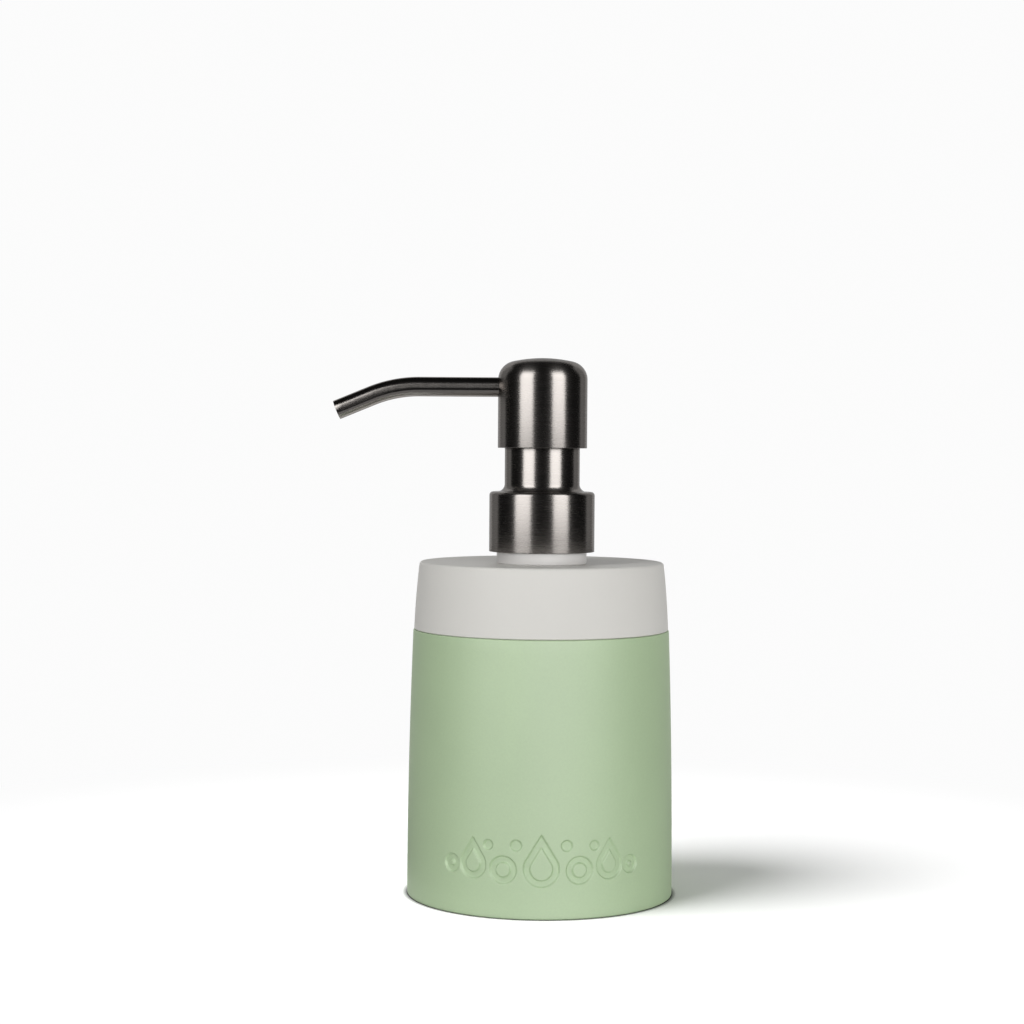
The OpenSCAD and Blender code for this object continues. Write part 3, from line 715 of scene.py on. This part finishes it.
def swept_tube(name, route, outer, inner, edge, material, body, sides=64):
    """A tube along a route in the XZ plane, closed at both ends, with eased edges at its tip."""
    angles = np.linspace(0, 2 * math.pi, sides, endpoint=False)

    def ring(point, ahead, radius):
        up = Vector((0, 1, 0)).cross(ahead)
        return [point + radius * (math.cos(a) * up + math.sin(a) * Vector((0, 1, 0))) for a in angles]

    tip, ahead = route[-1]
    rings = [ring(p, d, outer) for p, d in route[:-1]]
    rings += [ring(tip - ahead * edge * (1 - math.sin(t)), ahead, outer - edge * (1 - math.cos(t)))
              for t in np.radians([0, 22.5, 45, 67.5, 90])]
    rings += [ring(tip - ahead * edge * (1 - math.cos(t)), ahead, inner + edge * (1 - math.sin(t)))
              for t in np.radians([0, 30, 60, 90])]
    rings += [ring(p, d, inner) for p, d in route[:-1][::-1]]
    vertices = [v for loop in rings for v in loop]
    count = len(rings)
    faces = [(i * sides + j, i * sides + (j + 1) % sides,
              ((i + 1) % count) * sides + (j + 1) % sides, ((i + 1) % count) * sides + j)
             for i in range(count) for j in range(sides)]
    tube = finish_mesh(name, vertices, faces, material, body)
    map_round_the_tube(tube, [p for p, _ in route])
    return tube


def map_round_the_tube(tube, line):
    """A UV map with U round the tube and V along it, in the brushing's own units."""
    steps = [0.0]
    for near, far in zip(line, line[1:]):
        steps.append(steps[-1] + (far - near).length)
    points = np.array(line)
    layer = tube.data.uv_layers.new(name="round_the_tube")
    for face in tube.data.polygons:
        corners = [np.array(tube.data.vertices[v].co) for v in face.vertices]
        nearest = [int(np.argmin(np.linalg.norm(points - c, axis=1))) for c in corners]
        turns = [math.atan2(c[1], c[2] - points[n][2]) for c, n in zip(corners, nearest)]
        for loop, turn, n in zip(face.loop_indices, turns, nearest):
            if turn - turns[0] > math.pi:
                turn -= 2 * math.pi
            elif turns[0] - turn > math.pi:
                turn += 2 * math.pi
            layer.data[loop].uv = (turn * LINE_STRETCH, steps[n])


# %% Spout and its liner
wall = 0.6 * MM
liner_outer = spout_radius - wall - 0.05 * MM
spout = swept_tube("steel_spout", spout_route(tip_length), spout_radius, spout_radius - wall,
                   0.12 * MM, spout_steel, "plunger")
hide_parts("spout")
liner = swept_tube("spout_lining", spout_route(tip_length - 0.8 * MM), liner_outer,
                   liner_outer - wall, 0.1 * MM, tube_plastic, "plunger")
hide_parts("spout_liner")
print("spout reaches", round(-spout_low.x / MM, 1), "mm from the axis")

# %% [markdown]
# ## The pieces inside
# The neck ring, the nut and all the working parts of the pump keep their solids, which already
# have their threads, seats and lips. They only need their finish. They show when the closure is
# unscrewed and when the head is pressed.

# %% Finish of the remaining solids
inner_finish = {
    "neck_ring": neck_plastic, "closure_nut": core_plastic, "gasket": seal_foam,
    "pump_housing": pump_plastic, "stem_guide": pump_plastic_grey, "ball_cage": pump_plastic_grey,
    "dip_tube": tube_plastic, "inlet_ball": ball_steel, "return_spring": spring_steel,
    "stem": pump_plastic, "piston": piston_plastic, "piston_seat": pump_plastic_grey,
    "outlet_ball": ball_steel, "head_core": core_plastic,
}
for name, material in inner_finish.items():
    node = nodes[name]
    for index in range(len(node.material_slots)):
        node.material_slots[index].material = material
print("finished solids:", len(inner_finish))

# %% [markdown]
# ## Table and background
# The dispenser stands on a white table in front of a white background. Close to the foot the
# table is a diffuse surface, so that it takes the soft shadow. Further out it turns into an even
# white for the camera and for reflections, and so does the world behind it. The photograph is
# exposed so that the lit table is pure white, so rays that see the table find it brighter than
# the light that it gives back to the object. The dark line where the foot meets the table is too
# narrow for a lamp's shadow, so it is painted shade: the Ambient Occlusion node darkens the
# table's colour there.

# %% Table
TABLE_RADIUS = 6.0
TABLE_WHITE = 0.42      # for the light that the table gives back
TABLE_SEEN = 1.18       # for rays that see it
EVEN_WHITE = 0.97
EVEN_FROM = 0.12        # metres from the axis, where the even white begins
EVEN_TO = 0.30          # and where it is complete
# painted contact shade: how far the Ambient Occlusion reaches, the openness at which it turns black, and
# its samples
PAINTED_SHADE_REACH = 2 * MM
PAINTED_SHADE_BLACK = 0.44    # openness at which the line at the foot is black
PAINTED_SHADE_SAMPLES = 24


def visible_rays(tree):
    """1 for camera, glossy and transmission rays, 0 for the rest."""
    path = tree.nodes.new("ShaderNodeLightPath").outputs
    seen = math_node(tree, "MAXIMUM", path["Is Camera Ray"], path["Is Glossy Ray"])
    return math_node(tree, "MAXIMUM", seen, path["Is Transmission Ray"])


def build_table():
    """A wide disc whose colour runs from lit white near the foot, with the lamps' shadow and a painted
    contact shade, to even white far out.
    """
    mesh = bpy.data.meshes.new("table")
    shape = bmesh.new()
    bmesh.ops.create_circle(shape, cap_ends=True, segments=96, radius=TABLE_RADIUS)
    shape.to_mesh(mesh)
    shape.free()
    table = bpy.data.objects.new("table", mesh)
    bpy.context.scene.collection.objects.link(table)
    material = bpy.data.materials.new("table_white")
    material.use_nodes = True
    tree = material.node_tree
    tree.nodes.clear()
    out = tree.nodes.new("ShaderNodeOutputMaterial")
    plain = tree.nodes.new("ShaderNodeBsdfDiffuse")
    seen = visible_rays(tree)
    tone = math_node(tree, "MULTIPLY_ADD", seen, TABLE_SEEN - TABLE_WHITE)
    tone.node.inputs[2].default_value = TABLE_WHITE
    # painted contact shade: the table's colour is multiplied by the Ambient Occlusion, so it darkens at
    # the foot
    near = tree.nodes.new("ShaderNodeAmbientOcclusion")
    near.samples = PAINTED_SHADE_SAMPLES
    near.inputs["Distance"].default_value = PAINTED_SHADE_REACH
    painted_contact_shade = tree.nodes.new("ShaderNodeMapRange")
    painted_contact_shade.inputs["From Min"].default_value = PAINTED_SHADE_BLACK
    tree.links.new(near.outputs["AO"], painted_contact_shade.inputs["Value"])
    tree.links.new(math_node(tree, "MULTIPLY", tone, painted_contact_shade.outputs[0]), plain.inputs["Color"])
    even = tree.nodes.new("ShaderNodeEmission")
    even.inputs["Color"].default_value = (EVEN_WHITE, EVEN_WHITE, EVEN_WHITE, 1)
    place = tree.nodes.new("ShaderNodeTexCoord").outputs["Object"]
    distance = tree.nodes.new("ShaderNodeVectorMath")
    distance.operation = "LENGTH"
    tree.links.new(place, distance.inputs[0])
    far = tree.nodes.new("ShaderNodeMapRange")
    far.interpolation_type = "SMOOTHSTEP"
    far.inputs["From Min"].default_value = EVEN_FROM
    far.inputs["From Max"].default_value = EVEN_TO
    tree.links.new(distance.outputs["Value"], far.inputs["Value"])
    mix = tree.nodes.new("ShaderNodeMixShader")
    tree.links.new(math_node(tree, "MULTIPLY", far.outputs[0], seen), mix.inputs[0])
    tree.links.new(plain.outputs[0], mix.inputs[1])
    tree.links.new(even.outputs[0], mix.inputs[2])
    tree.links.new(mix.outputs[0], out.inputs["Surface"])
    mesh.materials.append(material)
    return table


table = build_table()
print("table", TABLE_WHITE, "for light,", TABLE_SEEN, "as seen")

# %% World
WORLD_LIGHT = 0.18


def build_world():
    """White for camera, glossy and transmission rays, and a soft fill for the rest."""
    world = bpy.data.worlds.new("studio")
    bpy.context.scene.world = world
    world.use_nodes = True
    tree = world.node_tree
    ground = tree.nodes["Background"]
    ground.inputs["Color"].default_value = (1, 1, 1, 1)
    strength = math_node(tree, "MULTIPLY_ADD", visible_rays(tree), EVEN_WHITE - WORLD_LIGHT)
    strength.node.inputs[2].default_value = WORLD_LIGHT
    tree.links.new(strength, ground.inputs["Strength"])


build_world()
print("world fill", WORLD_LIGHT)

# %% [markdown]
# ## Lights
# Each lamp has one job. Two tall soft boxes stand to the left and right in front of the object,
# about 40 degrees off the camera's line, and only show as reflections: the two bright upright
# bands on the pump. Five lamps light the body and leave out the steel and the table. A wide low
# one in front models its roundness, one from the upper left lights the shoulder and lets the
# pump shade it, a small one on each side keeps the edges from going dark, and one behind keeps
# the colours of the back true. The table has two suns of its own: a broad one from the left for
# the soft shadow to the right, and a very wide one overhead, as a sky.

# %% Lamps
def aim(thing, at):
    """Turns an object so that its -Z looks at a point."""
    thing.rotation_euler = (Vector(at) - thing.location).to_track_quat("-Z", "Y").to_euler()


def around(angle, distance, height):
    """A place round the object: the angle counts from the camera's side, positive to the right."""
    a = math.radians(angle)
    return Vector((distance * math.sin(a), -distance * math.cos(a), height))


def soft_box(name, angle, distance, height, width, tall, radiance, aim_z):
    """An area lamp of a given radiance, so that its reflection's brightness is known."""
    data = bpy.data.lights.new(name, "AREA")
    data.shape = "RECTANGLE"
    data.size = width
    data.size_y = tall
    data.energy = radiance * math.pi * width * tall
    lamp = bpy.data.objects.new(name, data)
    lamp.location = around(angle, distance, height)
    aim(lamp, (0, 0, aim_z))
    bpy.context.scene.collection.objects.link(lamp)
    return lamp


def link_light(lamp, things, state):
    """Makes a lamp light only some objects, or all but those."""
    receivers = bpy.data.collections.new(lamp.name + "_receivers")
    for thing in things:
        receivers.objects.link(thing)
    for link in receivers.collection_objects:
        link.light_linking.link_state = state
    lamp.light_linking.receiver_collection = receivers


# name, angle, distance, height, width, height of the lamp's face, radiance, height aimed at
BOXES = (("left_box", -43, 0.95, 0.45, 0.61, 0.90, 3.6, 0.45),
         ("right_box", 41, 0.95, 0.45, 0.58, 0.90, 3.6, 0.45))
BODY_LAMPS = (("front_lamp", 6, 1.45, 0.28, 0.9, 0.5, 9.4, 0.08),
              ("key_lamp", -66, 1.0, 1.4, 0.6, 0.6, 6.0, 0.11),
              ("back_lamp", 176, 1.45, 0.18, 1.0, 0.34, 10.0, 0.08),
              ("left_fill", -106, 1.3, 0.2, 0.5, 0.38, 2.6, 0.08),
              ("right_fill", 100, 1.3, 0.2, 0.5, 0.38, 6.4, 0.08))
for settings in BOXES:
    soft_box(*settings).visible_diffuse = False
for settings in BODY_LAMPS:
    lamp = soft_box(*settings)
    lamp.visible_glossy = lamp.name in ("front_lamp", "key_lamp")
    link_light(lamp, (table, collar, head, spout), "EXCLUDE")
print("soft boxes:", len(BOXES), "and lamps for the body:", len(BODY_LAMPS))


# %% Suns for the table
def table_sun(name, angle, distance, height, energy, spread):
    """A sun of a given spread in degrees, which lights the table alone."""
    data = bpy.data.lights.new(name, "SUN")
    data.energy = energy
    data.angle = math.radians(spread)
    sun = bpy.data.objects.new(name, data)
    sun.location = around(angle, distance, height)
    aim(sun, (0, 0, 0))
    bpy.context.scene.collection.objects.link(sun)
    sun.visible_glossy = False
    link_light(sun, (table,), "INCLUDE")


table_sun("shadow_sun", -63, 1.3, 1.56, 2.6, 37)
table_sun("table_sky", 0, 0, 2.0, 0.44, 170)
print("two suns for the table")

# %% [markdown]
# ## Screens
# Steel shows whatever stands round it, so a studio hangs black and grey screens round a pump to
# give it its dark bands. These do the same, and only reflections see them: black between and
# beside the boxes, grey further round and on the table near the foot, and a dark ceiling.
# Straight behind the object they leave the white background open, which draws the bright line
# along each edge of the steel.


# %% Screen helper
def screen_material(name, tone):
    """A plain emitter, so that a screen's reflection keeps its tone."""
    material = bpy.data.materials.new(name)
    material.use_nodes = True
    tree = material.node_tree
    tree.nodes.clear()
    glow = tree.nodes.new("ShaderNodeEmission")
    glow.inputs["Color"].default_value = (tone, tone, tone, 1)
    out = tree.nodes.new("ShaderNodeOutputMaterial")
    tree.links.new(glow.outputs[0], out.inputs["Surface"])
    return material


def hang(name, points, faces, material):
    """A screen that only reflections see."""
    mesh = bpy.data.meshes.new(name)
    mesh.from_pydata(points, [], faces)
    mesh.materials.append(material)
    screen = bpy.data.objects.new(name, mesh)
    bpy.context.scene.collection.objects.link(screen)
    screen.visible_camera = False
    screen.visible_diffuse = False
    screen.visible_shadow = False
    screen.visible_transmission = False


SCREEN_RADIUS = 1.4
SCREEN_HIGH = 1.4
STRIP_INNER = 0.2       # where the screens' strips on the table end and the card begins
CARD_INNER = 0.06


def curved_screen(name, start, end, material):
    """An upright screen between two angles, with a strip on the table at its foot."""
    angles = np.linspace(start, end, max(4, int((end - start) / 4)) + 1)
    rows = [(SCREEN_RADIUS, SCREEN_HIGH), (SCREEN_RADIUS, 0.0), (STRIP_INNER, 0.0006)]
    points = [around(a, r, z) for a in angles for r, z in rows]
    count = len(rows)
    faces = [(count * i + j, count * i + j + 1, count * (i + 1) + j + 1, count * (i + 1) + j)
             for i in range(len(angles) - 1) for j in range(count - 1)]
    hang(name, points, faces, material)


def table_card(name, start, end, material):
    """A flat ring-shaped card on the table round the object."""
    angles = np.linspace(start, end, 60)
    points = [around(a, r, 0.0005) for a in angles for r in (CARD_INNER, STRIP_INNER)]
    faces = [(2 * i, 2 * i + 1, 2 * i + 3, 2 * i + 2) for i in range(len(angles) - 1)]
    hang(name, points, faces, material)


# %% Screens
black = screen_material("screen_black", 0.012)
grey = screen_material("screen_grey", 0.35)
black_reach = 112       # degrees to each side of the camera
grey_reach = 142
curved_screen("screen_front", -black_reach, black_reach, black)
for side in (-1, 1):
    curved_screen(f"screen_side_{side}", *sorted((side * black_reach, side * grey_reach)), grey)
table_card("table_card", -150, 150, grey)
ceiling_z = 1.35
ceiling_side, ceiling_front, ceiling_back = 2, -1.5, 1.2
hang("ceiling", [(-ceiling_side, ceiling_front, ceiling_z), (ceiling_side, ceiling_front, ceiling_z),
                 (ceiling_side, ceiling_back, ceiling_z), (-ceiling_side, ceiling_back, ceiling_z)],
     [(0, 1, 2, 3)], black)
print("screens hung")

# %% [markdown]
# ## Finish
# The view transform is Standard, so colours render as they are written.

# %% Finish
bpy.context.scene.view_settings.view_transform = "Standard"
